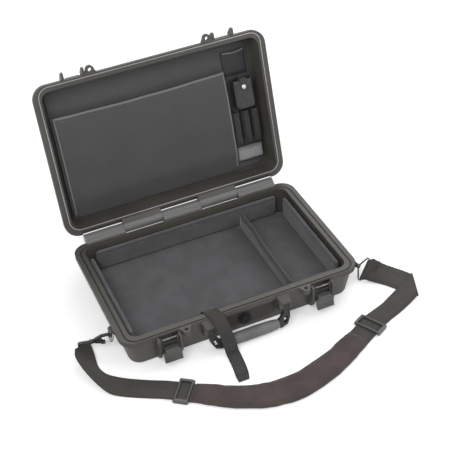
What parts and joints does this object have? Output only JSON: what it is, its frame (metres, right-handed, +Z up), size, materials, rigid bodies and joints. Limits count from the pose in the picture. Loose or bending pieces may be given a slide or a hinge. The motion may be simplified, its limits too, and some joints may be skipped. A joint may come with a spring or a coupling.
{
  "type": "laptop hard case",
  "caption": "Moulded laptop case with a hinged lid, double-throw latches, swinging handle, padded liner, lid organizer and padded shoulder strap on snap hooks.",
  "frame": {"origin": "centre of the base's flat underside, which is the face it stands on", "axes": "+X to the right of someone facing the latches, -Y towards the latches and handle, +Z up; the lid is stored open"},
  "size_m": [0.6946, 0.6701, 0.4067],
  "materials": {
    "shell": "moulded black polypropylene with a fine leather-like grain",
    "seal": "smooth black sealing cord",
    "steel": "bright rod and wire",
    "hardware": "black moulded nylon",
    "latch": "black moulded plastic, satin",
    "liner": "brushed grey padded cloth",
    "organizer": "woven grey-black nylon",
    "pocket": "woven grey nylon with bound edges",
    "webbing": "grey-brown ribbed webbing",
    "pad": "padded dark cloth with a bound edge",
    "grip": "soft grey overmoulded grip"
  },
  "bodies": {
    "case": {"base_shell": "shell", "rim_seal": "seal", "latch_rods": "steel", "handle_pins": "steel", "hinge_pin": "steel", "valve_body": "hardware", "liner_floor": "liner", "liner_front": "liner", "liner_back": "liner", "liner_left": "liner", "liner_right": "liner", "divider": "liner", "hold_down_strap": "webbing", "hook_left": "hardware", "hook_right": "hardware", "bail_left": "steel", "bail_right": "steel", "webbing_left": "webbing", "webbing_right": "webbing", "slider_left": "hardware", "slider_right": "hardware", "shoulder_pad": "pad"},
    "lid": {"lid_shell": "shell", "organizer_panel": "organizer", "document_pocket": "pocket", "accessory_pocket": "pocket", "card_pocket": "pocket", "phone_pouch": "pocket", "pen_sleeves": "pocket", "band_pocket": "pocket"},
    "valve": {"valve_knob": "hardware"},
    "handle": {"handle_frame": "latch", "handle_grip": "grip"},
    "latch_link_left": {"link_left": "latch"},
    "latch_link_right": {"link_right": "latch"},
    "latch_lever_left": {"lever_left": "latch"},
    "latch_lever_right": {"lever_right": "latch"},
    "strap_ring_left": {"ring_left": "steel"},
    "strap_ring_right": {"ring_right": "steel"},
    "hook_gate_left": {"gate_left": "steel"},
    "hook_gate_right": {"gate_right": "steel"}
  },
  "joints": [
    {"name": "lid_hinge", "type": "hinge", "parent": "case", "child": "lid", "pos_m": [0, 0.1725, 0.07], "axis": [1, 0, 0], "range_deg": [0, 105.5], "deforming": ["hold_down_strap"]},
    {"name": "handle_swing", "type": "hinge", "parent": "case", "child": "handle", "pos_m": [0, -0.169, 0.046], "axis": [-1, 0, 0], "range_deg": [0, 90], "deforming": ["hold_down_strap"]},
    {"name": "valve_turn", "type": "hinge", "parent": "case", "child": "valve", "pos_m": [0, -0.1495, 0.03], "axis": [0, -1, 0], "range_deg": [0, 270]},
    {"name": "latch_swing_left", "type": "hinge", "parent": "case", "child": "latch_link_left", "pos_m": [-0.159, -0.167, 0.06], "axis": [-1, 0, 0], "range_deg": [0, 170]},
    {"name": "lever_turn_left", "type": "hinge", "parent": "latch_link_left", "child": "latch_lever_left", "pos_m": [-0.159, -0.17117, 0.03637], "axis": [-1, 0, 0], "range_deg": [-170, 0]},
    {"name": "ring_swing_left", "type": "hinge", "parent": "case", "child": "strap_ring_left", "pos_m": [-0.2485, -0.09, 0.052], "axis": [0, 1, 0], "range_deg": [0, 6]},
    {"name": "latch_swing_right", "type": "hinge", "parent": "case", "child": "latch_link_right", "pos_m": [0.159, -0.167, 0.06], "axis": [-1, 0, 0], "range_deg": [0, 170]},
    {"name": "lever_turn_right", "type": "hinge", "parent": "latch_link_right", "child": "latch_lever_right", "pos_m": [0.159, -0.17117, 0.03637], "axis": [-1, 0, 0], "range_deg": [-170, 0]},
    {"name": "ring_swing_right", "type": "hinge", "parent": "case", "child": "strap_ring_right", "pos_m": [0.2485, -0.09, 0.052], "axis": [0, -1, 0], "range_deg": [0, 6]},
    {"name": "gate_turn_left", "type": "hinge", "parent": "case", "child": "hook_gate_left", "pos_m": [-0.26454, -0.08275, 0.02266], "axis": [-0.457, -0.8894, -0.0117], "range_deg": [0, 20], "stiffness_Nm_per_rad": 0.01},
    {"name": "gate_turn_right", "type": "hinge", "parent": "case", "child": "hook_gate_right", "pos_m": [0.24896, -0.10249, 0.02844], "axis": [0.5004, 0.5458, -0.6721], "range_deg": [0, 20], "stiffness_Nm_per_rad": 0.01}
  ],
  "couplings": [
    {"joint": "lever_turn_left", "follows": "latch_swing_left", "ratio": -1},
    {"joint": "lever_turn_right", "follows": "latch_swing_right", "ratio": -1}
  ]
}
